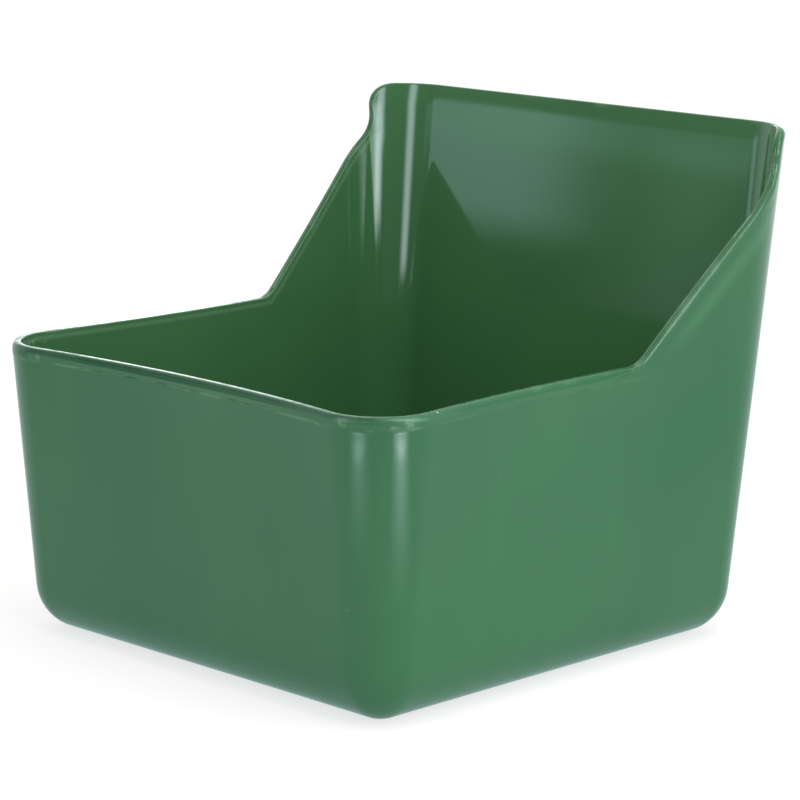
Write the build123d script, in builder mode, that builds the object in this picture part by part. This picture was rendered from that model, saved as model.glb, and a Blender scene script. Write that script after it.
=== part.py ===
from build123d import *
import os
from math import cos, pi, radians, sin, tan

# A livestock feeder: a one-piece moulded tub with a high back, and two steel
# hooks screwed to the outside of the back so that it can hang on a rail.
# Millimetres and degrees. The origin is the centre of the flat underside.
# -Y is the low front, +Z is up, and left and right are as seen from the front.

# Tub: outside sizes
RIM_WIDTH = 250.0
RIM_DEPTH = 248.5
FRONT_HEIGHT = 131.5
BACK_HEIGHT = 226.0
SIDE_DRAFT = 4.35
FRONT_DRAFT = 4.1
BACK_DRAFT = 6.55
BASE_CORNER_RADIUS = 18.5
CORNER_RADIUS_GROWTH = 0.068
BASE_ROUND = 22.4

# Tub: how far the free walls bow inwards at the middle of the rim
FRONT_BOW = 6.8
SIDE_BOW = 6.3
FOOT_BOW = 0.2

# Tub: wall, floor and rim
WALL = 4.2
FLOOR = 4.5
RIM_OUTER_ROUND = 2.6
RIM_INNER_ROUND = 0.7

# Tub: side profile, from the low rim up the slope to the back's edge
SLOPE_FOOT_Y = 38.6
SLOPE_TOP_Y = 115.0
SLOPE_TOP_Z = 204.5
SLOPE_FOOT_ROUND = 14.0
SLOPE_TOP_ROUND = 16.0
EAR_ROUND = 11.0

# Hooks: flat steel strap, bent to sit on a rail
HOOK_X = 50.0
STRAP_WIDTH = 25.0
STRAP_THICKNESS = 3.0
STRAP_BEND = 6.5
STRAP_END_ROUND = 6.0
STRAP_EDGE_ROUND = 0.5
RAIL_GAP = 45.0
SEAT_Z = 210.0
SHANK_FOOT_Z = 138.0
NOSE_FOOT_Z = 178.0

# Hook seats moulded on the back: two bosses between two ribs
SEAT_Y = 140.0
BOSS_RADIUS = 6.0
RIB_THICKNESS = 3.0
RIB_GAP = 0.3
RIB_FOOT_Z = 116.0
RIB_SLOPE = 24.0
RIB_TOP_Z = 206.0

# Screws: self-tapping, countersunk flush so that the rail can lie against the strap,
# and below the hook's nose so that a driver reaches both
SCREW_HEIGHTS = (148.0, 169.0)
SCREW_RADIUS = 2.5
SCREW_LENGTH = 12.0
SCREW_TIP = 1.5
HEAD_RADIUS = 4.65
HEAD_SINK = 0.2
RECESS_SPAN = 4.6
RECESS_WIDTH = 1.1
RECESS_DEPTH = 1.5
STRAP_HOLE_RADIUS = 2.8
COUNTERSINK_RADIUS = 5.0
COUNTERSINK_TAPER = 45.0

# How the walls' curves are built
LEAST_RADIUS = 1.0
ROUND_STEPS = 5
CUT_MARGIN = 10.0
TINY = 0.01

# Worked out from the driving dimensions
BASE_FRONT_Y = (FRONT_HEIGHT * (tan(radians(FRONT_DRAFT)) + tan(radians(BACK_DRAFT))) - RIM_DEPTH) / 2
BASE_BACK_Y = -BASE_FRONT_Y
TOP_CUT_Z = BACK_HEIGHT + CUT_MARGIN
WALL_MIDDLE_Z = (FRONT_HEIGHT + TOP_CUT_Z) / 2
STRAP_BACK_Y = SEAT_Y + STRAP_THICKNESS
RIB_OFFSET_X = STRAP_WIDTH / 2 + RIB_GAP + RIB_THICKNESS / 2
SHANK_Y = SEAT_Y + STRAP_THICKNESS / 2
NOSE_Y = SHANK_Y + RAIL_GAP + STRAP_THICKNESS
STRAP_TOP_Z = SEAT_Z + STRAP_THICKNESS / 2
SCREW_GRIP = SCREW_LENGTH - STRAP_THICKNESS
SCREW_PLACES = [(x, z) for x in (-HOOK_X, HOOK_X) for z in SCREW_HEIGHTS]


def outline_loft(sections):
    """A loft through the tub's outline, where each section is a height and how far it is drawn in."""
    with BuildPart() as block:
        for z, drawn_in in sections:
            growth = (min(z, FRONT_HEIGHT) / FRONT_HEIGHT) ** 2
            half_width = RIM_WIDTH / 2 - (FRONT_HEIGHT - z) * tan(radians(SIDE_DRAFT)) - drawn_in
            front_y = BASE_FRONT_Y - z * tan(radians(FRONT_DRAFT)) + drawn_in
            back_y = BASE_BACK_Y + z * tan(radians(BACK_DRAFT)) - drawn_in
            radius = max(BASE_CORNER_RADIUS + CORNER_RADIUS_GROWTH * z - drawn_in, LEAST_RADIUS)
            centre_x = half_width - radius
            front_centre_y = front_y + radius
            back_centre_y = back_y - radius

            # A bowed wall leaves its corners at a small angle, so the corners turn a little further
            half_run = (back_centre_y - front_centre_y) / 2
            front_angle = 2 * max(FRONT_BOW * growth, FOOT_BOW) / centre_x
            side_angle = 2 * max(SIDE_BOW * growth, FOOT_BOW) / half_run
            diagonal = radius * cos(pi / 4)
            front_end = Vector(centre_x - radius * sin(front_angle), front_centre_y - radius * cos(front_angle))
            side_front = Vector(centre_x + radius * cos(side_angle), front_centre_y + radius * sin(side_angle))
            side_back = Vector(side_front.X, back_centre_y - radius * sin(side_angle))
            back_end = Vector(centre_x, back_centre_y + radius)
            side_bow = (side_back.Y - side_front.Y) / 2 * tan(side_angle / 2)
            front_bow = front_end.X * tan(front_angle / 2)

            with BuildSketch(Plane.XY.offset(z)):
                with BuildLine():
                    ThreePointArc(
                        front_end, (centre_x + diagonal, front_centre_y - diagonal), side_front
                    )
                    ThreePointArc(
                        side_front, (side_front.X - side_bow, (side_front.Y + side_back.Y) / 2), side_back
                    )
                    ThreePointArc(
                        side_back, (centre_x + diagonal, back_centre_y + diagonal), back_end
                    )
                    mirror(about=Plane.YZ)
                    ThreePointArc((-front_end.X, front_end.Y), (0, front_end.Y + front_bow), front_end)
                    Line(back_end, (-back_end.X, back_end.Y))
                make_face()
        loft()
    return block.part


def tub_block(inset, foot_z, foot_round):
    """The solid block inside the tub's outer wall drawn in by inset, from foot_z up past the back."""
    draft = radians(SIDE_DRAFT)
    foot_sections = []
    for step in range(ROUND_STEPS + 1):
        angle = pi / 2 - (pi / 2 - draft) * step / ROUND_STEPS
        drawn_in = foot_round * (1 - cos(angle - draft)) / cos(draft)
        foot_sections.append((foot_z + foot_round * (1 - sin(angle)), inset + drawn_in))
    wall_heights = (foot_sections[-1][0], FRONT_HEIGHT / 2, FRONT_HEIGHT, WALL_MIDDLE_Z, TOP_CUT_Z)
    with BuildPart() as block:
        add(outline_loft(foot_sections))
        add(outline_loft([(z, inset) for z in wall_heights]))
    return block.part


# Tub
outer_block = tub_block(0, 0, BASE_ROUND)
cavity_block = tub_block(WALL, FLOOR, BASE_ROUND - WALL)

with BuildPart() as feeder_tub:
    add(outer_block)

    # Ribs either side of each hook's shank, and bosses behind it
    for hook_x in (-HOOK_X, HOOK_X):
        for side in (-1, 1):
            with BuildSketch(Plane.YZ.offset(hook_x + side * RIB_OFFSET_X)):
                with BuildLine():
                    Polyline(
                        (BASE_BACK_Y, RIB_FOOT_Z),
                        (STRAP_BACK_Y, RIB_FOOT_Z + RIB_SLOPE),
                        (STRAP_BACK_Y, RIB_TOP_Z),
                        (BASE_BACK_Y, RIB_TOP_Z),
                        close=True,
                    )
                make_face()
            extrude(amount=RIB_THICKNESS / 2, both=True)
    with BuildSketch(Plane.XZ.offset(-SEAT_Y)):
        with Locations(*SCREW_PLACES):
            Circle(BOSS_RADIUS)
    extrude(amount=SEAT_Y - BASE_BACK_Y)

    # The hollow, then the screws' blind holes
    add(cavity_block, mode=Mode.SUBTRACT)
    with BuildSketch(Plane.XZ.offset(-SEAT_Y)):
        with Locations(*SCREW_PLACES):
            Circle(SCREW_RADIUS)
    extrude(amount=SCREW_GRIP, mode=Mode.SUBTRACT)

    # Everything above the side profile is cut away, which leaves the rim
    with BuildSketch(Plane.YZ):
        with BuildLine():
            FilletPolyline(
                (-RIM_DEPTH, FRONT_HEIGHT),
                (SLOPE_FOOT_Y, FRONT_HEIGHT),
                (SLOPE_TOP_Y, SLOPE_TOP_Z),
                (SLOPE_TOP_Y, BACK_HEIGHT),
                (RIM_DEPTH, BACK_HEIGHT),
                radius=[SLOPE_FOOT_ROUND, SLOPE_TOP_ROUND, EAR_ROUND],
            )
            Polyline(
                (RIM_DEPTH, BACK_HEIGHT),
                (RIM_DEPTH, 2 * BACK_HEIGHT),
                (-RIM_DEPTH, 2 * BACK_HEIGHT),
                (-RIM_DEPTH, FRONT_HEIGHT),
            )
        make_face()
    extrude(amount=RIM_WIDTH, both=True, mode=Mode.SUBTRACT)

    # The rim's edges all lie above the low rim's height and make two rings; the short ones across stay sharp
    rim_edges = feeder_tub.edges(Select.LAST).filter_by(Axis.X, reverse=True)
    rim_edges = rim_edges.filter_by(lambda edge: edge.bounding_box().min.Z > FRONT_HEIGHT - TINY)
    inner_ring, outer_ring = Wire.combine(rim_edges).sort_by(SortBy.LENGTH)
    inner_middles = [edge @ 0.5 for edge in inner_ring.edges()]
    fillet(outer_ring.edges(), radius=RIM_OUTER_ROUND)
    inner_edges = feeder_tub.edges().filter_by(
        lambda edge: min((edge @ 0.5 - middle).length for middle in inner_middles) < TINY
    )
    fillet(inner_edges, radius=RIM_INNER_ROUND)
feeder_tub.part.label = "feeder_tub"

# Hooks: each strap runs up the back, over the rail and down behind it
hooks = {}
for name, hook_x in (("hook_left", -HOOK_X), ("hook_right", HOOK_X)):
    with BuildPart() as hook:
        with BuildSketch(Plane.YZ.offset(hook_x)):
            with BuildLine():
                strap_line = FilletPolyline(
                    (SHANK_Y, SHANK_FOOT_Z),
                    (SHANK_Y, STRAP_TOP_Z),
                    (NOSE_Y, STRAP_TOP_Z),
                    (NOSE_Y, NOSE_FOOT_Z),
                    radius=STRAP_BEND,
                )
            trace(strap_line, line_width=STRAP_THICKNESS)
        extrude(amount=STRAP_WIDTH / 2, both=True)

        # The four short edges along Y are the corners of the strap's two ends
        end_corners = hook.edges().filter_by(Axis.Y).sort_by(SortBy.LENGTH)[:4]
        fillet(end_corners, radius=STRAP_END_ROUND)

        # The broad faces span the strap's width; all their edges but the bend lines are sharp
        broad_faces = hook.faces().filter_by(lambda face: face.bounding_box().size.X > STRAP_WIDTH - TINY)
        sharp_edges = broad_faces.edges().filter_by(lambda edge: edge.bounding_box().size.X < STRAP_WIDTH - TINY)
        fillet(sharp_edges, radius=STRAP_EDGE_ROUND)

        # Clearance holes, countersunk from the rail's side
        with BuildSketch(Plane.XZ.offset(-STRAP_BACK_Y)):
            with Locations(*[(hook_x, z) for z in SCREW_HEIGHTS]):
                Circle(STRAP_HOLE_RADIUS)
        extrude(amount=STRAP_THICKNESS, mode=Mode.SUBTRACT)
        with BuildSketch(Plane.XZ.offset(-STRAP_BACK_Y)):
            with Locations(*[(hook_x, z) for z in SCREW_HEIGHTS]):
                Circle(COUNTERSINK_RADIUS)
        extrude(
            amount=COUNTERSINK_RADIUS - STRAP_HOLE_RADIUS,
            taper=COUNTERSINK_TAPER,
            mode=Mode.SUBTRACT,
        )
    hook.part.label = name
    hooks[name] = hook.part

# Screws: one revolved head and shank with a cross recess, four times. The head's cone bears on the countersink
with BuildPart() as hook_screw:
    with BuildSketch(Plane.XY):
        with BuildLine():
            Polyline(
                (0, -HEAD_SINK),
                (HEAD_RADIUS, -HEAD_SINK),
                (HEAD_RADIUS, HEAD_RADIUS - COUNTERSINK_RADIUS),
                (SCREW_RADIUS, SCREW_RADIUS - COUNTERSINK_RADIUS),
                (SCREW_RADIUS, SCREW_TIP - SCREW_LENGTH),
                (0, -SCREW_LENGTH),
                close=True,
            )
        make_face()
    revolve(axis=Axis.Y)
    with BuildSketch(Plane.XZ.offset(HEAD_SINK)):
        Rectangle(RECESS_SPAN, RECESS_WIDTH)
        Rectangle(RECESS_WIDTH, RECESS_SPAN)
    extrude(amount=RECESS_DEPTH, mode=Mode.SUBTRACT)

with BuildPart() as hook_screws:
    for x, z in SCREW_PLACES:
        add(hook_screw.part.moved(Location((x, STRAP_BACK_Y, z))))
hook_screws.part.label = "hook_screws"

os.makedirs("parts", exist_ok=True)
export_step(feeder_tub.part, "parts/feeder_tub.step")
for name, hook in hooks.items():
    export_step(hook, f"parts/{name}.step")
export_step(hook_screws.part, "parts/hook_screws.step")
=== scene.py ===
import bmesh
import bpy
import math
import numpy as np
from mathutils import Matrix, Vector, noise


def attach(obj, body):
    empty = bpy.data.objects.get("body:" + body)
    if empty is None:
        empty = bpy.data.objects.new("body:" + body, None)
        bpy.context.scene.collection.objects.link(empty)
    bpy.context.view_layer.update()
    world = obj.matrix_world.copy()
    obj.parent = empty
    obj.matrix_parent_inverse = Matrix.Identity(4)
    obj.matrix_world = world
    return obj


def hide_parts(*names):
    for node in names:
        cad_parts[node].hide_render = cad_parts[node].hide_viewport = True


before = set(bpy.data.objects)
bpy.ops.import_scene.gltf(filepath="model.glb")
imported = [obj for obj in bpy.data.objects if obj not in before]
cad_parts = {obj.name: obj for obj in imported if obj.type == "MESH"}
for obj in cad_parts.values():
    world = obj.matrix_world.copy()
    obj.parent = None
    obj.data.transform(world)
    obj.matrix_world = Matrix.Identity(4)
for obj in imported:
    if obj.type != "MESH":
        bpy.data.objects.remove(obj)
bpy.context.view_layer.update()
scene = bpy.context.scene
MM = 0.001

# The tub's shell is its own mesh: the CAD model's section formula, with a finer rim. Its numbers are in
# millimetres and radians, and these first ones are the same as in the CAD model
RIM_WIDTH, RIM_DEPTH = 250.0, 248.5
FRONT_HEIGHT, BACK_HEIGHT = 131.5, 226.0
SIDE_DRAFT, FRONT_DRAFT, BACK_DRAFT = np.radians((4.35, 4.1, 6.55))
BASE_CORNER_RADIUS, CORNER_RADIUS_GROWTH, BASE_ROUND = 18.5, 0.068, 22.4
FRONT_BOW, SIDE_BOW, FOOT_BOW = 6.8, 6.3, 0.2
LEAST_RADIUS = 1.0
WALL, FLOOR = 4.2, 4.5
PROFILE = ((-200.0, 131.5), (38.6, 131.5), (115.0, 204.5), (115.0, 226.0), (200.0, 226.0))
PROFILE_ROUNDS = (14.0, 16.0, 11.0)
BASE_FRONT_Y = (FRONT_HEIGHT * (np.tan(FRONT_DRAFT) + np.tan(BACK_DRAFT)) - RIM_DEPTH) / 2

# What the half width loses between the low rim and the back's top, so that the tub stays inside the CAD box
HIGH_TRIM = 0.33

# The outline's legs, by the value of s at which each starts, and where the last one ends
FRONT_CORNER, SIDE, BACK_CORNER, BACK, END = range(1, 6)
LEG_SAMPLES = 400

# The rim: a wide outer roll along the low rim, a tight one up the slopes, a soft one on the ears and the back
LOW_ROLL_DROP, LOW_ROLL_WIDTH = 3.8, 2.1
SLOPE_ROLL_DROP, SLOPE_ROLL_WIDTH = 1.2, 1.0
BACK_ROLL_DROP, BACK_ROLL_WIDTH = 3.2, 2.7
ROLL_CHANGE_BEFORE_SLOPE, ROLL_CHANGE_AFTER_SLOPE = 22.0, 4.0
EAR_CHANGE_LOW, EAR_CHANGE_HIGH = 192.0, 216.0
INNER_ROUND = 0.6
ROLL_ROWS, INNER_ROLL_ROWS = 11, 6

# Up the slopes a groove runs along the flat top: shares of the flat's width, and of the groove's depth
GROOVE_DEPTH = 0.45
GROOVE = ((0.46, 0.0), (0.56, 0.8), (0.65, 1.0), (0.74, 0.8), (0.84, 0.0))

# The parting line below the rim: a broken ridge, whose height follows two scales of noise
LOW_LINE_DEPTH, SLOPE_LINE_DEPTH, BACK_LINE_DEPTH = 5.2, 2.2, 4.2
LINE_WIDTH, LINE_HEIGHT = 0.35, 0.17
LINE_OFFSETS = (2.2, 1.0, 0.5, 0.25, 0.0, -0.25, -0.5)
RIDGE_MEAN, RIDGE_GAIN = 0.45, 1.1
RIDGE_NOISES = ((1.0, 0.11, 3.1), (0.6, 0.47, 7.7))  # weight, waves per millimetre, place in the noise

# How much thinner the back's wall is at its edge, and how far down that fades
FLARE_DEPTH, FLARE_RUN = 0.5, 5.0

# The mesh: columns along the rim, and rows down the outer band, the inner band, the walls and the foot
COLUMN_STEP, ARC_POINTS = 1.25, 40
BAND = 9.0
OUTER_BAND_DEPTHS = (BAND, 8.2)
INNER_BAND_DEPTHS = (1.2, 2.0, 3.0, 4.0, 5.2, 6.6, 8.0, BAND)
BODY_ROWS, FOOT_ROWS = 30, 12
EVEN_REACH, RELAX_ROUNDS = 45, 600
SUPPORT = 3.0
# The profile's points end behind the ears' corners, where the back's top is level again
EAR_END_Y, LEVEL_TOLERANCE = 126.0, 0.01


def level_section(z, inset):
    """The corners and the side wall's bow at a height, for a face drawn in from the outer one."""
    growth = (np.clip(z, 0, FRONT_HEIGHT) / FRONT_HEIGHT) ** 2
    front_y = BASE_FRONT_Y - z * np.tan(FRONT_DRAFT) + inset
    back_y = -BASE_FRONT_Y + z * np.tan(BACK_DRAFT) - inset
    radius = np.maximum(BASE_CORNER_RADIUS + CORNER_RADIUS_GROWTH * z - inset, LEAST_RADIUS)
    front_cy, back_cy = front_y + radius, back_y - radius
    side_angle = 2 * np.maximum(SIDE_BOW * growth, FOOT_BOW) / ((back_cy - front_cy) / 2)
    low_y, high_y = front_cy + radius * np.sin(side_angle), back_cy - radius * np.sin(side_angle)
    bow_radius = (high_y - low_y) / 2 / np.sin(side_angle)
    return growth, radius, front_cy, back_cy, back_y, side_angle, low_y, high_y, bow_radius


def outline(s, z, inset):
    """x and y on the outline's right half, where s runs from 0 at the front's middle to END at the back's."""
    s, z, inset = np.broadcast_arrays(np.asarray(s, float), np.asarray(z, float), np.asarray(inset, float))
    growth, radius, front_cy, back_cy, back_y, side_angle, low_y, high_y, side_bow = level_section(z, inset)
    half_width = RIM_WIDTH / 2 - (FRONT_HEIGHT - z) * np.tan(SIDE_DRAFT) - inset
    half_width = half_width - HIGH_TRIM * np.clip((z - FRONT_HEIGHT) / (BACK_HEIGHT - FRONT_HEIGHT), 0, 1)
    centre_x = half_width - radius
    front_angle = 2 * np.maximum(FRONT_BOW * growth, FOOT_BOW) / centre_x
    u = [np.clip(s - k, 0, 1) for k in range(END)]

    end_x, end_y = centre_x - radius * np.sin(front_angle), front_cy - radius * np.cos(front_angle)
    front_bow = end_x / np.sin(front_angle)
    front = (
        front_bow * np.sin(u[0] * front_angle),
        end_y + front_bow * (np.cos(u[0] * front_angle) - np.cos(front_angle)),
    )
    turn = -front_angle + u[FRONT_CORNER] * (np.pi / 2 + side_angle + front_angle)
    front_corner = (centre_x + radius * np.sin(turn), front_cy - radius * np.cos(turn))
    side_x = centre_x + radius * np.cos(side_angle)
    turn = (2 * u[SIDE] - 1) * side_angle
    side = (
        side_x + side_bow * (np.cos(side_angle) - np.cos(turn)),
        (low_y + high_y) / 2 + side_bow * np.sin(turn),
    )
    turn = -side_angle + u[BACK_CORNER] * (np.pi / 2 + side_angle)
    back_corner = (centre_x + radius * np.cos(turn), back_cy + radius * np.sin(turn))
    back = (centre_x * (1 - u[BACK]), back_y)
    spans = [s < FRONT_CORNER, s < SIDE, s < BACK_CORNER, s < BACK]
    legs = (front, front_corner, side, back_corner)
    return tuple(np.select(spans, [leg[k] for leg in legs], back[k]) for k in (0, 1))


def s_at(y, z, inset):
    """Where on the side wall or the back corner the outline passes through y."""
    _, radius, _, back_cy, _, side_angle, low_y, high_y, side_bow = level_section(z, inset)
    limit = np.sin(side_angle)
    turn = np.arcsin(np.clip((y - (low_y + high_y) / 2) / side_bow, -limit, limit))
    corner_turn = np.arcsin(np.clip((y - back_cy) / radius, -limit, 1))
    on_side = SIDE + (turn + side_angle) / (2 * side_angle)
    on_corner = BACK_CORNER + (corner_turn + side_angle) / (np.pi / 2 + side_angle)
    return np.where(y < high_y, on_side, on_corner)


# A run is a distance along the low rim's outline in millimetres. KNOTS are the runs at whole values of s
fine_x, fine_y = outline(np.linspace(0, END, END * LEG_SAMPLES + 1), FRONT_HEIGHT, 0)
fine_run = np.concatenate([[0], np.cumsum(np.hypot(np.diff(fine_x), np.diff(fine_y)))])
KNOTS = fine_run[::LEG_SAMPLES]


def s_of(run):
    return np.interp(run, KNOTS, np.arange(END + 1))


def run_of(s):
    return np.interp(s, np.arange(END + 1), KNOTS)


def rounded_profile(step):
    """The side profile as even points, with its corners rounded."""
    points = [np.array(p) for p in PROFILE]
    out = [points[0]]
    for before, corner, after, radius in zip(points, points[1:], points[2:], PROFILE_ROUNDS):
        a = (before - corner) / np.linalg.norm(before - corner)
        b = (after - corner) / np.linalg.norm(after - corner)
        half = np.arccos(a @ b) / 2
        reach = radius / np.tan(half)
        centre = corner + (a + b) / np.linalg.norm(a + b) * radius / np.sin(half)
        start, end = corner + a * reach - centre, corner + b * reach - centre
        turn = np.pi - 2 * half
        for t in np.linspace(0, 1, ARC_POINTS):
            out.append(centre + (start * np.sin((1 - t) * turn) + end * np.sin(t * turn)) / np.sin(turn))
    out.append(points[-1])
    out = np.array(out)
    along = np.concatenate([[0], np.cumsum(np.linalg.norm(np.diff(out, axis=0), axis=1))])
    even = np.arange(0, along[-1], step)
    return np.stack([np.interp(even, along, out[:, k]) for k in (0, 1)], axis=1)


def rim_path(step):
    """Runs on the outer and inner face and the height of even points along the right half of the rim."""
    start_y = outline(SIDE, FRONT_HEIGHT, 0)[1]
    profile = rounded_profile(step)
    rising = (profile[:, 0] < EAR_END_Y) | (profile[:, 1] < BACK_HEIGHT - LEVEL_TOLERANCE)
    profile = profile[(profile[:, 0] > start_y + step / 2) & rising]
    profile = np.vstack([[start_y, FRONT_HEIGHT], profile])
    outer_s, inner_s = (s_at(profile[:, 0], profile[:, 1], inset) for inset in (0.0, WALL))
    outer_s[0] = SIDE
    front = s_of(np.linspace(0, KNOTS[SIDE], int(KNOTS[SIDE] / step))[:-1])
    back_start = run_of(outer_s[-1])
    back = s_of(np.linspace(back_start, KNOTS[END], int((KNOTS[END] - back_start) / step))[1:])
    front_inner = front + (inner_s[0] - SIDE) * front / SIDE
    back_inner = END - (END - back) * (END - inner_s[-1]) / (END - outer_s[-1])
    z = np.concatenate([np.full(len(front), FRONT_HEIGHT), profile[:, 1], np.full(len(back), BACK_HEIGHT)])
    outer = np.concatenate([front, outer_s, back])
    inner = np.concatenate([front_inner, inner_s, back_inner])
    return run_of(outer), run_of(inner), z


rim_outer, rim_inner, rim_z = rim_path(COLUMN_STEP)
columns = len(rim_z)

# The outline's own length for each millimetre of run at each point's height, and from that the direction down
# into the wall from each point of the rim, square to the rim
ahead, behind = (np.array(outline(s_of(rim_outer + half), rim_z, 0)) for half in (0.5, -0.5))
stretch = np.hypot(*(ahead - behind))
stretch[[0, -1]] = stretch[[1, -2]]
tangent = np.stack([np.gradient(rim_outer) * stretch, np.gradient(rim_z)])
tangent /= np.linalg.norm(tangent, axis=0)
down_run, down_z = tangent[1] / stretch, -tangent[0]


def smooth_step(value, start, end):
    t = np.clip((value - start) / (end - start), 0, 1)
    return t * t * (3 - 2 * t)


slope_run = run_of(s_at(PROFILE[1][0] - PROFILE_ROUNDS[0] / 2, FRONT_HEIGHT, 0.0))
on_slope = smooth_step(rim_outer, slope_run - ROLL_CHANGE_BEFORE_SLOPE, slope_run + ROLL_CHANGE_AFTER_SLOPE)
on_back = smooth_step(rim_z, EAR_CHANGE_LOW, EAR_CHANGE_HIGH)
past_corner = smooth_step(rim_outer, KNOTS[BACK_CORNER], KNOTS[BACK])


def along_rim(low, slope, back):
    """A size that has one value along the low rim, one up the slopes and one along the ears and the back."""
    return low * (1 - on_slope) + (slope * (1 - on_back) + back * on_back) * on_slope


def rim_row(depth, inset):
    """One row of points along the rim, at a depth below its edge and drawn in from the outer face."""
    mix = np.clip(inset / WALL, 0, 1)
    run = rim_outer * (1 - mix) + rim_inner * mix + depth * down_run
    run = np.clip(run, 0, KNOTS[END])
    run[0], run[-1] = 0, KNOTS[END]
    return run, rim_z + depth * down_z, inset + 0 * run


def flare(depth):
    """How much thinner the back's wall is near its edge, which makes the lip flare softly."""
    return FLARE_DEPTH * past_corner * np.exp(-((depth / FLARE_RUN) ** 2))


def body_rows(top, foot_z, inset):
    """A smooth grid between a band's lower edge and the foot, relaxed so that its cells stay even."""
    run, z, _ = top
    padded = np.concatenate([-run[EVEN_REACH:0:-1], run, 2 * KNOTS[END] - run[-2 : -EVEN_REACH - 2 : -1]])
    window = 2 * EVEN_REACH + 1
    foot_run = np.convolve(padded, np.ones(window) / window, "valid")
    t = np.linspace(0, 1, BODY_ROWS + 1)[:, None]
    grid_run = run + (foot_run - run) * t
    grid_z = z + (foot_z - z) * t
    for _ in range(RELAX_ROUNDS):
        for grid in (grid_run, grid_z):
            around = grid[:-2, 1:-1] + grid[2:, 1:-1] + grid[1:-1, :-2] + grid[1:-1, 2:]
            grid[1:-1, 1:-1] = around / 4
        grid_z[1:-1, 0] = grid_z[1:-1, 1]
        grid_z[1:-1, -1] = grid_z[1:-1, -2]
    return [(grid_run[k], grid_z[k], np.full(columns, inset)) for k in range(1, BODY_ROWS + 1)]


def foot_rows(run, foot_z, foot_round, inset):
    """The rounded foot, from the wall's end down to the flat, and a last row that holds the flat's edge."""
    out = []
    for angle in np.linspace(SIDE_DRAFT, np.pi / 2, FOOT_ROWS + 1)[1:]:
        drawn_in = foot_round * (1 - np.cos(angle - SIDE_DRAFT)) / np.cos(SIDE_DRAFT)
        z = foot_z + foot_round * (1 - np.sin(angle))
        out.append((run, np.full(columns, z), np.full(columns, inset + drawn_in)))
    last = out[-1]
    out.append((run, last[1], last[2] + SUPPORT))
    return out


def rim_rows():
    """The rows over the rim, from the outer band's lower edge to the inner band's, in five groups."""
    drop = along_rim(LOW_ROLL_DROP, SLOPE_ROLL_DROP, BACK_ROLL_DROP)
    width = along_rim(LOW_ROLL_WIDTH, SLOPE_ROLL_WIDTH, BACK_ROLL_WIDTH)
    line_depth = along_rim(LOW_LINE_DEPTH, SLOPE_LINE_DEPTH, BACK_LINE_DEPTH)
    thin = flare(0)
    flat = WALL - thin - INNER_ROUND - width
    groove_depth = GROOVE_DEPTH * on_slope * (1 - on_back)
    line = [rim_row(line_depth + offset, 0.0) for offset in LINE_OFFSETS]
    roll = [
        rim_row(drop * (1 - math.sin(angle)), width * (1 - math.cos(angle)))
        for angle in np.linspace(0, np.pi / 2, ROLL_ROWS)
    ]
    groove = [rim_row(groove_depth * depth, width + flat * share) for share, depth in GROOVE]
    inner_roll = [
        rim_row(INNER_ROUND * (1 - math.cos(angle)), WALL - thin - INNER_ROUND * (1 - math.sin(angle)))
        for angle in np.linspace(0, np.pi / 2, INNER_ROLL_ROWS)
    ]
    inner_band = [rim_row(depth, WALL - flare(depth)) for depth in INNER_BAND_DEPTHS]
    return line, roll, groove, inner_roll, inner_band


def shell_rows():
    """Rows from the outer foot over the rim to the floor inside, each with its run, height and inset.

    The second value is the number of the parting line's first row.
    """
    inner_foot_round = BASE_ROUND - WALL
    outer_foot_top = BASE_ROUND * (1 - math.sin(SIDE_DRAFT))
    inner_foot_top = FLOOR + inner_foot_round * (1 - math.sin(SIDE_DRAFT))
    outer_band = [rim_row(depth, 0.0) for depth in OUTER_BAND_DEPTHS]
    line, roll, groove, inner_roll, inner_band = rim_rows()
    outer_body = body_rows(outer_band[0], outer_foot_top, 0.0)
    inner_body = body_rows(inner_band[-1], inner_foot_top, WALL)
    outer_foot = foot_rows(outer_body[-1][0], 0.0, BASE_ROUND, 0.0)
    inner_foot = foot_rows(inner_body[-1][0], FLOOR, inner_foot_round, WALL)
    below = outer_foot[::-1] + outer_body[::-1] + outer_band
    return below + line + roll + groove + inner_roll + inner_band + inner_body + inner_foot, len(below)


def shell_mesh():
    """Vertices in metres and faces of the closed shell."""
    rows, line_start = shell_rows()
    line_end = line_start + len(LINE_OFFSETS)

    # The left half mirrors the right one, and the parting line's broken ridge differs all round
    ring = np.concatenate([np.arange(columns), np.arange(columns - 2, 0, -1)])
    sign = np.concatenate([np.ones(columns), -np.ones(columns - 2)])
    raggedness = np.array([
        sum(weight * noise.noise((run * waves, place, 0)) for weight, waves, place in RIDGE_NOISES)
        for run in sign * rim_outer[ring]
    ])
    ridge = LINE_HEIGHT * np.clip(RIDGE_MEAN + RIDGE_GAIN * raggedness, 0, 1)
    points = []
    for number, (run, z, inset) in enumerate(rows):
        inset = inset[ring]
        if line_start <= number < line_end:
            inset = inset - ridge * math.exp(-((LINE_OFFSETS[number - line_start] / LINE_WIDTH) ** 2))
        x, y = outline(s_of(run[ring]), z[ring], inset)
        points.append(np.stack([x * sign, y, z[ring]], axis=1))

    size = len(ring)
    first = np.arange(len(rows) - 1)[:, None] * size
    here, there = np.arange(size), (np.arange(size) + 1) % size
    quads = np.stack([first + here, first + there, first + size + there, first + size + here], axis=-1)
    faces = quads.reshape(-1, 4).tolist()
    faces.append(list(range(size))[::-1])
    faces.append(list(range((len(rows) - 1) * size, len(rows) * size)))
    return np.concatenate(points) * MM, faces


def new_object(name, data):
    piece = bpy.data.objects.new(name, data)
    scene.collection.objects.link(piece)
    return piece


def new_mesh(name, vertices, faces):
    mesh = bpy.data.meshes.new(name)
    mesh.from_pydata([tuple(v) for v in vertices], [], faces)
    return mesh


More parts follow.
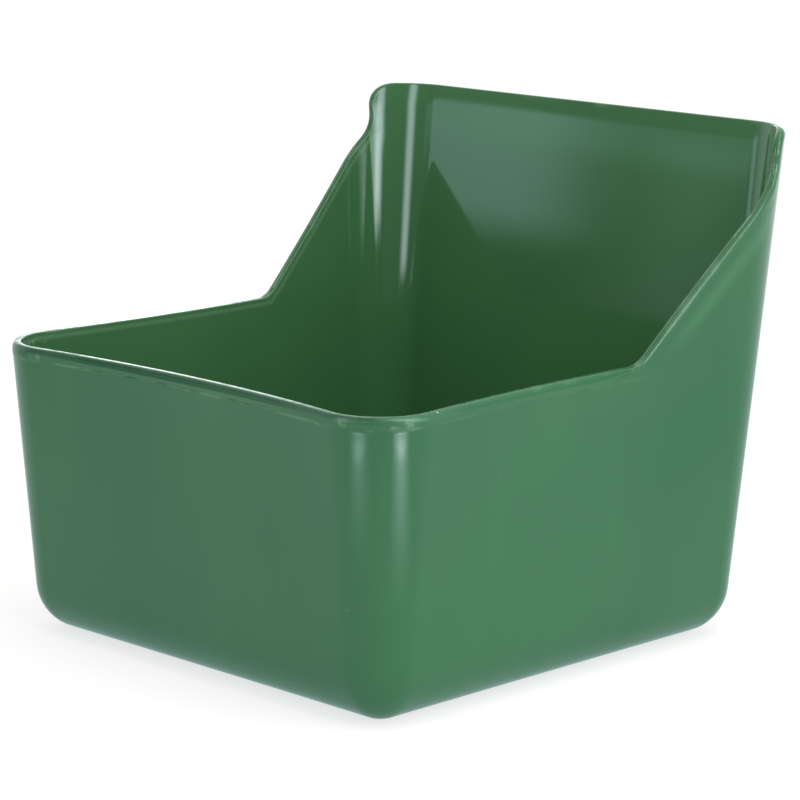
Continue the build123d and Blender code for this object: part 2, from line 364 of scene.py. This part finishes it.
shell_data = new_mesh("tub_shell", *shell_mesh())
shell_data.validate()
shell = new_object("tub_shell", shell_data)

# Hook seats on the outer back: ribs with softened edges and bosses, joined to the shell, then the blind holes
HOOK_X, SCREW_HEIGHTS = 50.0, (148.0, 169.0)
SEAT_Y, RIB_OUTER_Y = 140.0, 143.0
RIB_OFFSET_X, RIB_THICKNESS, RIB_SOFTNESS = 14.3, 3.0, 0.45
RIB_FOOT_Z, RIB_SLOPE, RIB_TOP_Z = 116.0, 24.0, 206.0
RIB_ROOT_NEAR_Z = 127.0
BOSS_RADIUS, BOSS_SOFTNESS, HOLE_RADIUS, HOLE_DEPTH = 6.0, 0.5, 2.5, 9.0
ROOT_DEPTH, CUT_CLEARANCE = 2.0, 1.0
BAR_SIDES, BAR_ROUND_STEPS, BEVEL_SEGMENTS = 48, 5, 3
SHARP_ANGLE = math.radians(32)


def back_face_y(z):
    return -BASE_FRONT_Y + z * math.tan(BACK_DRAFT)


def prism(section, x_low, x_high, softness):
    """A closed block with a Y and Z section, its edges rounded over."""
    block = bmesh.new()
    near = [block.verts.new((x_low, y, z)) for y, z in section]
    far = [block.verts.new((x_high, y, z)) for y, z in section]
    block.faces.new(near)
    block.faces.new(far[::-1])
    for k in range(len(section)):
        n = (k + 1) % len(section)
        block.faces.new((near[n], near[k], far[k], far[n]))
    bmesh.ops.recalc_face_normals(block, faces=block.faces)
    bmesh.ops.bevel(
        block, geom=block.edges, offset=softness, segments=BEVEL_SEGMENTS, affect="EDGES", profile=0.5
    )
    return block


def round_bar(x, z, y_low, y_high, radius, softness=0.0):
    """A closed cylinder along Y, its outer edge rounded over if it has a softness."""
    angles = np.linspace(0, np.pi / 2, BAR_ROUND_STEPS) if softness else (np.pi / 2,)
    steps = [(y_low, radius)]
    for angle in angles:
        steps.append((y_high - softness * (1 - math.sin(angle)), radius - softness * (1 - math.cos(angle))))
    turns = [2 * math.pi * k / BAR_SIDES for k in range(BAR_SIDES)]
    bar = bmesh.new()
    loops = [[bar.verts.new((x + r * math.cos(a), y, z + r * math.sin(a))) for a in turns] for y, r in steps]
    for low, high in zip(loops, loops[1:]):
        for k in range(BAR_SIDES):
            n = (k + 1) % BAR_SIDES
            bar.faces.new((low[k], low[n], high[n], high[k]))
    bar.faces.new(loops[0])
    bar.faces.new(loops[-1])
    bmesh.ops.recalc_face_normals(bar, faces=bar.faces)
    return bar


def gathered(name, blocks):
    """One object from several closed blocks in millimetres."""
    mesh = bpy.data.meshes.new(name)
    whole = bmesh.new()
    for block in blocks:
        part = bpy.data.meshes.new("part")
        block.to_mesh(part)
        block.free()
        whole.from_mesh(part)
        bpy.data.meshes.remove(part)
    bmesh.ops.scale(whole, vec=(MM, MM, MM), verts=whole.verts)
    whole.to_mesh(mesh)
    whole.free()
    return new_object(name, mesh)


# The ribs' lower edge rises from the tub's base line outwards, and its root lies a little inside the wall
rib_root_share = (back_face_y(RIB_ROOT_NEAR_Z) - ROOT_DEPTH + BASE_FRONT_Y) / (RIB_OUTER_Y + BASE_FRONT_Y)
rib_root_z = RIB_FOOT_Z + RIB_SLOPE * rib_root_share
rib_section = [
    (back_face_y(rib_root_z) - ROOT_DEPTH, rib_root_z),
    (RIB_OUTER_Y, RIB_FOOT_Z + RIB_SLOPE),
    (RIB_OUTER_Y, RIB_TOP_Z),
    (back_face_y(RIB_TOP_Z) - ROOT_DEPTH, RIB_TOP_Z),
]
seats, holes = [], []
for hook_x in (-HOOK_X, HOOK_X):
    for side in (-1, 1):
        x = hook_x + side * RIB_OFFSET_X
        seats.append(prism(rib_section, x - RIB_THICKNESS / 2, x + RIB_THICKNESS / 2, RIB_SOFTNESS))
    for z in SCREW_HEIGHTS:
        seats.append(round_bar(hook_x, z, back_face_y(z) - ROOT_DEPTH, SEAT_Y, BOSS_RADIUS, BOSS_SOFTNESS))
        holes.append(round_bar(hook_x, z, SEAT_Y - HOLE_DEPTH, SEAT_Y + CUT_CLEARANCE, HOLE_RADIUS))
helpers = [shell]
for name, blocks, operation in (("seats", seats, "UNION"), ("holes", holes, "DIFFERENCE")):
    joiner = shell.modifiers.new(name, "BOOLEAN")
    joiner.object = gathered(name, blocks)
    joiner.operation = operation
    joiner.solver = "MANIFOLD"
    helpers.append(joiner.object)
bpy.context.view_layer.update()
joined = bpy.data.meshes.new_from_object(shell.evaluated_get(bpy.context.evaluated_depsgraph_get()))
tub = new_object("tub", joined)
joined.name = "tub"
for helper in helpers:
    bpy.data.objects.remove(helper)
joined.polygons.foreach_set("use_smooth", [True] * len(joined.polygons))
joined.set_sharp_from_angle(angle=SHARP_ANGLE)
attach(tub, "root")
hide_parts("feeder_tub")

# Camera, as fitted to the photo's outline
CAMERA_PLACE, CAMERA_AIM = (1.0282, -0.99215, 0.4045), (0.0078, 0.01019, 0.1045)
LENS, SENSOR, SHIFT_X = 148.51, 36.0, -0.0116


def aim_at(viewer, place, aim):
    """Put a camera or a light at a place and turn it towards a point."""
    viewer.location = place
    viewer.rotation_euler = (Vector(aim) - Vector(place)).to_track_quat("-Z", "Y").to_euler()


scene.view_settings.view_transform = "Standard"
camera_data = bpy.data.cameras.new("camera")
camera_data.lens = LENS
camera_data.sensor_width = SENSOR
camera_data.shift_x = SHIFT_X
camera = new_object("camera", camera_data)
aim_at(camera, CAMERA_PLACE, CAMERA_AIM)
scene.camera = camera


class Shader:
    """The node tree of a material or of the world, with short ways to add the nodes that this script uses."""

    def __init__(self, owner):
        owner.use_nodes = True
        self.owner = owner
        self.nodes = owner.node_tree.nodes
        self.links = owner.node_tree.links
        self.surface = self.nodes.get("Principled BSDF") or self.nodes["Background"]
        self.coordinates = self.nodes.new("ShaderNodeTexCoord").outputs
        self.place = self.coordinates["Object"]

    def put(self, socket, value):
        if isinstance(value, bpy.types.NodeSocket):
            self.links.new(value, socket)
        elif isinstance(value, tuple) and len(value) == 3 and socket.type == "RGBA":
            socket.default_value = (*value, 1)
        else:
            socket.default_value = value

    def set(self, **inputs):
        """Give inputs of the surface's shader their values, with _ for the spaces in their names."""
        for name, value in inputs.items():
            self.put(self.surface.inputs[name.replace("_", " ")], value)

    def math(self, operation, *values):
        node = self.nodes.new("ShaderNodeMath")
        node.operation = operation
        for socket, value in zip(node.inputs, values):
            self.put(socket, value)
        return node.outputs[0]

    def times(self, first, *others):
        for other in others:
            first = self.math("MULTIPLY", first, other)
        return first

    def plus(self, first, *others):
        for other in others:
            first = self.math("ADD", first, other)
        return first

    def minus(self, a, b):
        return self.math("SUBTRACT", a, b)

    def ramp(self, value, start, end, low=0.0, high=1.0, kind="LINEAR"):
        """A change from low to high while the value goes from start to end."""
        node = self.nodes.new("ShaderNodeMapRange")
        node.interpolation_type = kind
        numbers = {"Value": value, "From Min": start, "From Max": end, "To Min": low, "To Max": high}
        for name, number in numbers.items():
            self.put(node.inputs[name], number)
        return node.outputs["Result"]

    def step(self, value, start, end, low=0.0, high=1.0):
        """A smooth step from low to high while the value goes from start to end."""
        return self.ramp(value, start, end, low, high, "SMOOTHSTEP")

    def band(self, value, centre, reach):
        """1 at the centre, falling to 0 at reach either side."""
        return self.step(self.math("ABSOLUTE", self.minus(value, centre)), reach, 0.0)

    def axes(self, vector):
        node = self.nodes.new("ShaderNodeSeparateXYZ")
        self.put(node.inputs[0], vector)
        return node.outputs

    def vector_math(self, operation, *values):
        node = self.nodes.new("ShaderNodeVectorMath")
        node.operation = operation
        for socket, value in zip(node.inputs, values):
            self.put(socket, value)
        return node.outputs["Value"]

    def stretched(self, scale):
        node = self.nodes.new("ShaderNodeMapping")
        self.put(node.inputs["Vector"], self.place)
        node.inputs["Scale"].default_value = scale
        return node.outputs[0]

    def noise(self, scale, detail=3.0, vector=None, distortion=0.0):
        node = self.nodes.new("ShaderNodeTexNoise")
        self.put(node.inputs["Vector"], vector or self.place)
        node.inputs["Scale"].default_value = scale
        node.inputs["Detail"].default_value = detail
        node.inputs["Distortion"].default_value = distortion
        return node.outputs["Fac"]

    def cells(self, scale):
        node = self.nodes.new("ShaderNodeTexVoronoi")
        self.put(node.inputs["Vector"], self.place)
        node.inputs["Scale"].default_value = scale
        return node.outputs

    def mix(self, factor, a, b):
        node = self.nodes.new("ShaderNodeMix")
        node.data_type = "RGBA"
        for socket, value in ((node.inputs[0], factor), (node.inputs[6], a), (node.inputs[7], b)):
            self.put(socket, value)
        return node.outputs[2]

    def bump(self, height, distance, normal=None):
        node = self.nodes.new("ShaderNodeBump")
        node.inputs["Strength"].default_value = 1.0
        node.inputs["Distance"].default_value = distance
        self.put(node.inputs["Height"], height)
        if normal:
            self.put(node.inputs["Normal"], normal)
        return node.outputs[0]

    def specks(self, scale, share, size):
        """Small round specks: one in some of the cells, where share is the part of cells that have one."""
        cell = self.cells(scale)
        dot = self.step(cell["Distance"], size * scale, size * scale * 0.5)
        chosen = self.math("LESS_THAN", self.axes(cell["Color"])[0], share)
        return self.times(dot, chosen)


# Studio: white all round, a pale floor that glows a little, and cards that only show in the gloss
WHITE, SOFT_WHITE = (1.0, 1.0, 1.0), (0.845, 0.83, 0.81)
HORIZON, BEHIND = (0.20, 0.26, 0.28), (1.0, 1.12, 1.15)
NEAR_FLOOR, FAR_FLOOR = (0.50, 0.70, 0.74), (1.1, 1.15, 1.15)
BEHIND_DIRECTION, BEHIND_START, BEHIND_END = (-0.64, 0.77, 0.0), -0.1, 0.5
POOL_START, POOL_END = 0.55, 1.1
FLOOR_SIZE, FLOOR_GREY, FLOOR_GLOW = 6, (0.33, 0.33, 0.33), 0.72


def studio_colour(sh, gloss):
    """White to the camera, a touch softer as light on the object, and another colour in the gloss."""
    ray = sh.nodes.new("ShaderNodeLightPath").outputs
    lit = sh.mix(ray["Is Glossy Ray"], SOFT_WHITE, gloss)
    return sh.mix(ray["Is Camera Ray"], lit, WHITE)


# In the gloss, the world is dim on the camera's side and bright on the far side
scene.world = bpy.data.worlds.new("studio")
sky = Shader(scene.world)
towards_back = sky.vector_math("DOT_PRODUCT", sky.coordinates["Generated"], BEHIND_DIRECTION)
sky_gloss = sky.mix(sky.ramp(towards_back, BEHIND_START, BEHIND_END), HORIZON, BEHIND)
sky.set(Color=studio_colour(sky, sky_gloss), Strength=1.0)

floor_data = bpy.data.meshes.new("floor")
floor_grid = bmesh.new()
bmesh.ops.create_grid(floor_grid, x_segments=1, y_segments=1, size=FLOOR_SIZE)
floor_grid.to_mesh(floor_data)
floor_grid.free()
floor = new_object("floor", floor_data)
ground = Shader(bpy.data.materials.new("floor"))
far_away = ground.ramp(ground.vector_math("LENGTH", ground.place), POOL_START, POOL_END)
ground.set(
    Base_Color=FLOOR_GREY,
    Roughness=0.9,
    Specular_IOR_Level=0.0,
    Emission_Color=studio_colour(ground, ground.mix(far_away, NEAR_FLOOR, FAR_FLOOR)),
    Emission_Strength=FLOOR_GLOW,
)
floor_data.materials.append(ground.owner)


def upright(centre, aim, width, z_low, z_high, lean=0.0):
    """Corners of an upright card that faces a point in plan; its upper edge may lean sideways."""
    away = (Vector(centre) - Vector(aim)).normalized()
    side = Vector((-away.y, away.x))
    left, right, shift = -side * width / 2, side * width / 2, side * lean
    places = ((left, z_low), (right, z_low), (right + shift, z_high), (left + shift, z_high))
    return [(*(Vector(centre) + across), z) for across, z in places]


def lying(near, far, width, lift):
    """Corners of a card a little above the floor, between two points."""
    along = (Vector(far) - Vector(near)).normalized()
    side = Vector((-along.y, along.x)) * width / 2
    places = (Vector(near) - side, Vector(near) + side, Vector(far) + side, Vector(far) - side)
    return [(*place, lift) for place in places]


def card(name, corners, material):
    """A staged card that only the gloss sees."""
    mesh = new_mesh(name, corners, [(0, 1, 2, 3)])
    layer = mesh.uv_layers.new(name="UVMap")
    for loop, place in zip(layer.data, ((0, 0), (1, 0), (1, 1), (0, 1))):
        loop.uv = place
    mesh.materials.append(material)
    piece = new_object(name, mesh)
    piece.visible_camera = False
    piece.visible_diffuse = False
    piece.visible_shadow = False
    piece.visible_transmission = False


def soft_edges(sh, strength, fades):
    """A strength that falls to nothing at a card's four edges. Fades are the shares that it falls over."""
    u, v, _ = sh.axes(sh.coordinates["UV"])
    for distance, fade in zip((u, sh.minus(1.0, u), v, sh.minus(1.0, v)), fades):
        if fade:
            strength = sh.times(sh.step(distance, 0.0, fade), strength)
    return strength


def glow(name, corners, radiance, colour, fades):
    """A soft-edged light that only the gloss mirrors."""
    sh = Shader(bpy.data.materials.new(name))
    lamp, clear = sh.nodes.new("ShaderNodeEmission"), sh.nodes.new("ShaderNodeBsdfTransparent")
    both = sh.nodes.new("ShaderNodeAddShader")
    sh.put(lamp.inputs["Color"], colour)
    sh.put(lamp.inputs["Strength"], soft_edges(sh, radiance, fades))
    sh.put(both.inputs[0], lamp.outputs[0])
    sh.put(both.inputs[1], clear.outputs[0])
    sh.put(sh.nodes["Material Output"].inputs["Surface"], both.outputs[0])
    sh.nodes.remove(sh.surface)
    card(name, corners, sh.owner)


def dark_card(name, corners, fades):
    """A soft-edged black card that keeps the far floor out of the gloss."""
    sh = Shader(bpy.data.materials.new(name))
    sh.set(Base_Color=(0.0, 0.0, 0.0), Specular_IOR_Level=0.0, Alpha=soft_edges(sh, 1.0, fades))
    card(name, corners, sh.owner)


# The cards face the places of the tub that mirror them to the camera. Lengths are in metres, colours linear
LEFT_CORNER, RIGHT_CORNER, MIDDLE = (-0.121, 0.115), (0.104, 0.130), (0.0, 0.0)
LOW_LIFT, HIGH_LIFT = 0.002, 0.004
COOL, ICE, MINT = (0.64, 0.97, 0.96), (0.80, 0.92, 1.0), (0.58, 1.0, 0.95)

# Each glow: its name, corners, radiance, colour, and the fades at its left, right, lower and upper edge
GLOWS = (
    # The two highlights on the near corner
    ("corner_front_tail", lying((0.104, -0.260), (0.150, -0.447), 0.25, LOW_LIFT), 1.9, COOL,
     (0.5, 0.5, 0.9, 0.15)),
    ("corner_front", lying((0.144, -0.398), (0.150, -0.444), 0.20, HIGH_LIFT), 4.5, COOL,
     (0.5, 0.5, 0.3, 0.3)),
    ("corner_right_tail", lying((0.222, -0.086), (0.447, -0.154), 0.21, LOW_LIFT), 3.8, ICE,
     (0.5, 0.5, 0.9, 0.15)),
    ("corner_right", lying((0.400, -0.149), (0.443, -0.157), 0.19, HIGH_LIFT), 10.4, ICE,
     (0.5, 0.5, 0.4, 0.4)),
    # The twin streaks in the far left inner corner, and the soft light beside them
    ("streak_front", upright((-0.007, -0.364), (-0.111, 0.122), 0.21, 0.150, 0.42, -0.03), 8.2, ICE,
     (0.45, 0.45, 0.05, 0)),
    ("streak_wing", upright((0.3765, 0.072), LEFT_CORNER, 0.26, 0.155, 0.240), 3.4, COOL,
     (0.4, 0.1, 0.12, 0.2)),
    ("streak_low", upright((0.359, -0.022), LEFT_CORNER, 0.19, 0.160, 0.265), 11.5, ICE,
     (0.4, 0.4, 0.35, 0.35)),
    ("streak_high", upright((0.344, -0.068), LEFT_CORNER, 0.16, 0.220, 0.42), 9.0, ICE,
     (0.4, 0.4, 0.15, 0)),
    # The tall soft box in the back's inner face, and the paler band along the back's top
    ("left_box", upright((-0.4755, -0.3259), (0.1805, 0.4291), 0.16, 0.157, 0.315), 1.78, (0.64, 0.99, 1.03),
     (0.12, 0.48, 0.18, 0.335)),
    ("left_top", upright((-0.4189, -0.3751), (0.2371, 0.3799), 0.30, 0.218, 0.295), 0.75, MINT,
     (0.6, 0.1, 0.25, 0.48)),
    ("left_band", upright((-1.262, -1.461), (-0.606, -0.706), 0.13, 0.10, 0.34), 0.45, MINT,
     (0.45, 0.45, 0.1, 0.2)),
    # Light along the outline, in the far right inner corner, on the front's rim and on the slopes
    ("backdrop", upright((-1.45, 0.80), MIDDLE, 1.0, 0.05, 0.95), 2.5, WHITE,
     (0.3, 0.3, 0.1, 0.4)),
    ("far_corner", upright((-0.500, -0.090), RIGHT_CORNER, 0.28, 0.12, 0.32), 0.35, ICE,
     (0.4, 0.4, 0.2, 0.2)),
    ("rim_light", upright((-0.72, 1.50), MIDDLE, 0.55, 0.05, 0.95), 1.6, (1.0, 1.0, 0.86),
     (0.3, 0.3, 0.1, 0.4)),
    ("slope_light", upright((0.86, -0.21), (0.125, 0.08), 0.8, 0.75, 1.35), 8.0, (0.9, 1, 1),
     (0.2, 0.2, 0.2, 0.2)),
)
# The dark cards keep the far floor out of the inner corner's and the inner back's gloss
DARK_FADES = (0.2, 0.2, 0, 0.15)
DARK_CARDS = (
    ("left_card", upright((-0.5216, -0.3258), (0.1344, 0.4292), 0.24, 0.0, 0.175)),
    ("front_card", upright((0.20, -1.80), (-0.113, 0.123), 0.7, 0.0, 0.29)),
    ("right_card", upright((1.70, -0.60), (-0.121, 0.114), 0.7, 0.0, 0.29)),
)
for entry in GLOWS:
    glow(*entry)
for name, corners in DARK_CARDS:
    dark_card(name, corners, DARK_FADES)


def key_light(name, place, aim, size, radiance):
    data = bpy.data.lights.new(name, "AREA")
    data.shape = "SQUARE"
    data.size = size
    data.energy = radiance * math.pi * size * size
    light = new_object(name, data)
    aim_at(light, place, aim)
    light.visible_camera = False


LIGHT_AIM, LIGHT_SIZE = (0, 0, 0.1), 1.2
key_light("right_key", (1.5, 0.1, 0.75), LIGHT_AIM, LIGHT_SIZE, 2.1)
key_light("overhead", (0.4, 0.1, 1.6), LIGHT_AIM, LIGHT_SIZE, 2.0)

# Materials. Lengths are in metres, and the scales of noise are in waves per metre
PIGMENT_DARK, PIGMENT_LIGHT = (0.0275, 0.128, 0.0545), (0.0335, 0.142, 0.0585)
# The inside's greens are the same plastic, painted lighter and warmer for the light inside the tub
INSIDE_LIT_DARK, INSIDE_LIT_PALE = (0.045, 0.143, 0.0565), (0.051, 0.156, 0.0605)
# The slope green is the colour of a painted sheen beside the slopes
FLOW_GREEN, SLOPE_SHEEN_GREEN = (0.040, 0.158, 0.070), (0.055, 0.19, 0.092)
# The groove green is painted shade in the slopes' groove
RUBBED_AND_HIGHLIGHT_GREEN, GROOVE_SHADE_GREEN = (0.16, 0.29, 0.18), (0.010, 0.050, 0.020)
DUST = (0.72, 0.76, 0.66)
CORNER_CENTRE = 0.108
SLOPE_ANGLE = math.atan2(PROFILE[2][1] - PROFILE[1][1], PROFILE[2][0] - PROFILE[1][0])


def depth_below_rim(sh, y, z):
    """How far a point of the wall lies below the rim's edge, and below the plane of the slopes."""
    below_slope = sh.minus(
        sh.times(sh.minus(y, PROFILE[1][0] * MM), math.sin(SLOPE_ANGLE)),
        sh.times(sh.minus(z, PROFILE[1][1] * MM), math.cos(SLOPE_ANGLE)),
    )
    below_low_rim = sh.minus(FRONT_HEIGHT * MM, z)
    behind_ear = sh.minus(y, PROFILE[3][0] * MM)
    below_back = sh.minus(BACK_HEIGHT * MM, z)
    depth = sh.math("MAXIMUM", sh.math("MAXIMUM", below_low_rim, below_slope), behind_ear)
    return sh.math("MINIMUM", depth, below_back), below_slope


def tub_plastic():
    """Moulded green plastic: glossier inside, rougher at the rim, with scuffs along the parting line."""
    sh = Shader(bpy.data.materials.new("tub_plastic"))
    x, y, z = sh.axes(sh.place)
    nx, ny, nz = sh.axes(sh.nodes.new("ShaderNodeNewGeometry").outputs["Normal"])

    # Masks: the inner and outer faces, the rim's top, the front corners and the groove up the slopes
    inside = sh.step(sh.plus(sh.times(nx, x), sh.times(ny, y)), 0.02, -0.02)
    outside = sh.minus(1.0, inside)
    depth, below_slope = depth_below_rim(sh, y, z)
    rim_top = sh.times(sh.step(nz, 0.55, 0.9), sh.step(depth, 0.0045, 0.002))
    corner_x = sh.math("POWER", sh.minus(sh.math("ABSOLUTE", x), CORNER_CENTRE), 2.0)
    corner_y = sh.math("POWER", sh.plus(y, CORNER_CENTRE), 2.0)
    from_corner = sh.math("SQRT", sh.plus(corner_x, corner_y))
    square_to_slope = sh.plus(sh.times(ny, -math.sin(SLOPE_ANGLE)), sh.times(nz, math.cos(SLOPE_ANGLE)))
    groove = sh.times(
        sh.step(depth, 0.00012, 0.0003), sh.step(square_to_slope, 0.75, 0.92), sh.step(z, 0.205, 0.195)
    )

    # Pigment: slow drift and flow marks. Painted light: a painted sheen as a paler band beside the slopes
    # outside, and a lighter, warmer green inside for the light inside the tub
    drift = sh.step(sh.noise(9.0, 3.0), 0.3, 0.7)
    flow = sh.step(sh.noise(26.0, 4.0, sh.stretched((1.0, 1.0, 0.22)), 0.6), 0.45, 0.75)
    green = sh.mix(drift, PIGMENT_DARK, PIGMENT_LIGHT)
    green = sh.mix(sh.times(flow, 0.22), green, FLOW_GREEN)
    # Painted sheen: a paler band on the outer wall beside each slope, where the wall catches light
    slope_sheen_band = sh.times(sh.band(below_slope, 0.0095, 0.0055), sh.step(z, 0.130, 0.150))
    green = sh.mix(sh.times(slope_sheen_band, outside, 0.6), green, SLOPE_SHEEN_GREEN)
    # Painted light: the inner faces get a lighter, warmer green for the light inside the tub
    green = sh.mix(inside, green, sh.mix(drift, INSIDE_LIT_DARK, INSIDE_LIT_PALE))

    # Wear: scuffs along the parting line, which is weaker on the side walls, rubbed lips, and worn edges.
    # Painted highlight: a pale line on the inner face just below the rim
    line = sh.times(sh.band(depth, LOW_LINE_DEPTH * MM, 0.0009), outside, sh.step(z, 0.133, 0.129))
    line = sh.times(line, sh.step(y, -0.085, -0.105, 0.1, 0.4), sh.step(sh.noise(75.0, 5.0), 0.42, 0.60))
    rubbed = sh.step(sh.noise(240.0, 4.0), 0.54, 0.68)
    corner_rub = sh.times(sh.step(from_corner, 0.034, 0.012), sh.band(depth, 0.0032, 0.0022), 0.9, rubbed)
    edge_wear = sh.times(sh.step(depth, 0.0024, 0.0006), sh.step(sh.noise(70.0, 5.0), 0.5, 0.72), 0.3)
    # Painted highlight: a pale band inside the low rim and the slopes, where the rim's inner edge catches
    # light
    inner_lip_highlight = sh.times(sh.band(depth, 0.0026, 0.0018), inside, sh.step(z, 0.218, 0.205, 0.0, 0.4))
    wear_and_highlight = sh.math("MINIMUM", sh.plus(line, corner_rub, edge_wear, inner_lip_highlight), 1.0)
    green = sh.mix(wear_and_highlight, green, RUBBED_AND_HIGHLIGHT_GREEN)

    # Painted shade: the groove up the slopes darkened in the colour. Dirt: a few dust specks
    green = sh.mix(sh.times(groove, 0.75), green, GROOVE_SHADE_GREEN)
    dust = sh.math("MAXIMUM", sh.specks(34.0, 0.3, 0.0005), sh.times(sh.specks(150.0, 0.05, 0.00022), 0.7))
    green = sh.mix(dust, green, DUST)

    # Gloss: a smooth core side inside, a duller outside, rough lips at the front corners and a rough rim top
    fine = sh.times(sh.noise(420.0, 3.0), 0.01)
    patches = sh.noise(32.0, 4.0)
    outer_rough = sh.times(sh.plus(sh.step(patches, 0.3, 0.7, 0.07, 0.085), fine), outside)
    inner_rough = sh.times(sh.plus(sh.step(patches, 0.3, 0.7, 0.06, 0.075), fine), inside)
    worn_rough = sh.times(wear_and_highlight, 0.2)
    corner_lip = sh.times(sh.step(depth, 0.006, 0.0045), sh.step(from_corner, 0.05, 0.03), outside, 0.26)
    top_rough = sh.times(rim_top, sh.step(sh.noise(300.0, 4.0), 0.35, 0.7, 0.02, 0.22))
    rough = sh.plus(outer_rough, inner_rough, worn_rough, corner_lip, top_rough)

    # Relief: slow sink and warp of the walls, fine orange peel, and rub marks on the worn places, on the
    # painted highlight inside the rim, and on the rim
    warp = sh.bump(sh.noise(17.0, 1.5, sh.stretched((1.0, 1.0, 0.6))), 0.00012)
    peel = sh.bump(sh.noise(640.0, 2.0), 0.0000035, warp)
    rub_marks = sh.plus(sh.times(wear_and_highlight, sh.noise(900.0, 3.0)), sh.times(rim_top, sh.noise(700.0, 4.0)))
    rubs = sh.bump(rub_marks, 0.00006, peel)
    sh.set(Base_Color=green, Roughness=rough, Specular_IOR_Level=0.4, IOR=1.5, Normal=rubs)
    return sh.owner


SPANGLE, STAIN = (0.80, 0.81, 0.80), (0.33, 0.32, 0.29)


def zinc(name, tone, roughness):
    """Bright zinc plating on steel: faint rolling lines, a mottled film, spangle and dull stains."""
    sh = Shader(bpy.data.materials.new(name))
    rolled = sh.noise(900.0, 3.0, sh.stretched((1.0, 0.12, 0.04)))
    film = sh.noise(85.0, 5.0)
    spangle = sh.times(sh.axes(sh.cells(420.0)["Color"])[0], 0.16)
    stain = sh.times(sh.step(sh.noise(38.0, 6.0), 0.62, 0.78), 0.45)
    colour = sh.mix(sh.step(film, 0.35, 0.7), tone, tuple(0.72 * part for part in tone))
    colour = sh.mix(spangle, colour, SPANGLE)
    colour = sh.mix(stain, colour, STAIN)
    film_rough = sh.step(film, 0.3, 0.75, roughness, roughness + 0.16)
    rough = sh.plus(film_rough, sh.times(rolled, 0.08), sh.times(stain, 0.3))
    relief = sh.bump(sh.noise(1500.0, 2.0), 0.000006, sh.bump(rolled, 0.000018))
    sh.set(Base_Color=colour, Metallic=1.0, Roughness=rough, Normal=relief)
    return sh.owner


tub.data.materials.clear()
tub.data.materials.append(tub_plastic())
hook_zinc = zinc("hook_zinc", (0.62, 0.63, 0.65), 0.24)
screw_zinc = zinc("screw_zinc", (0.60, 0.60, 0.58), 0.20)
finishes = {
    "hook_left": (hook_zinc, "hook_steel"),
    "hook_right": (hook_zinc, "hook_steel"),
    "hook_screws": (screw_zinc, "screw_steel"),
}
for name, (finish, slot) in finishes.items():
    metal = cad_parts[name]
    metal.data.materials.clear()
    metal.data.materials.append(finish)
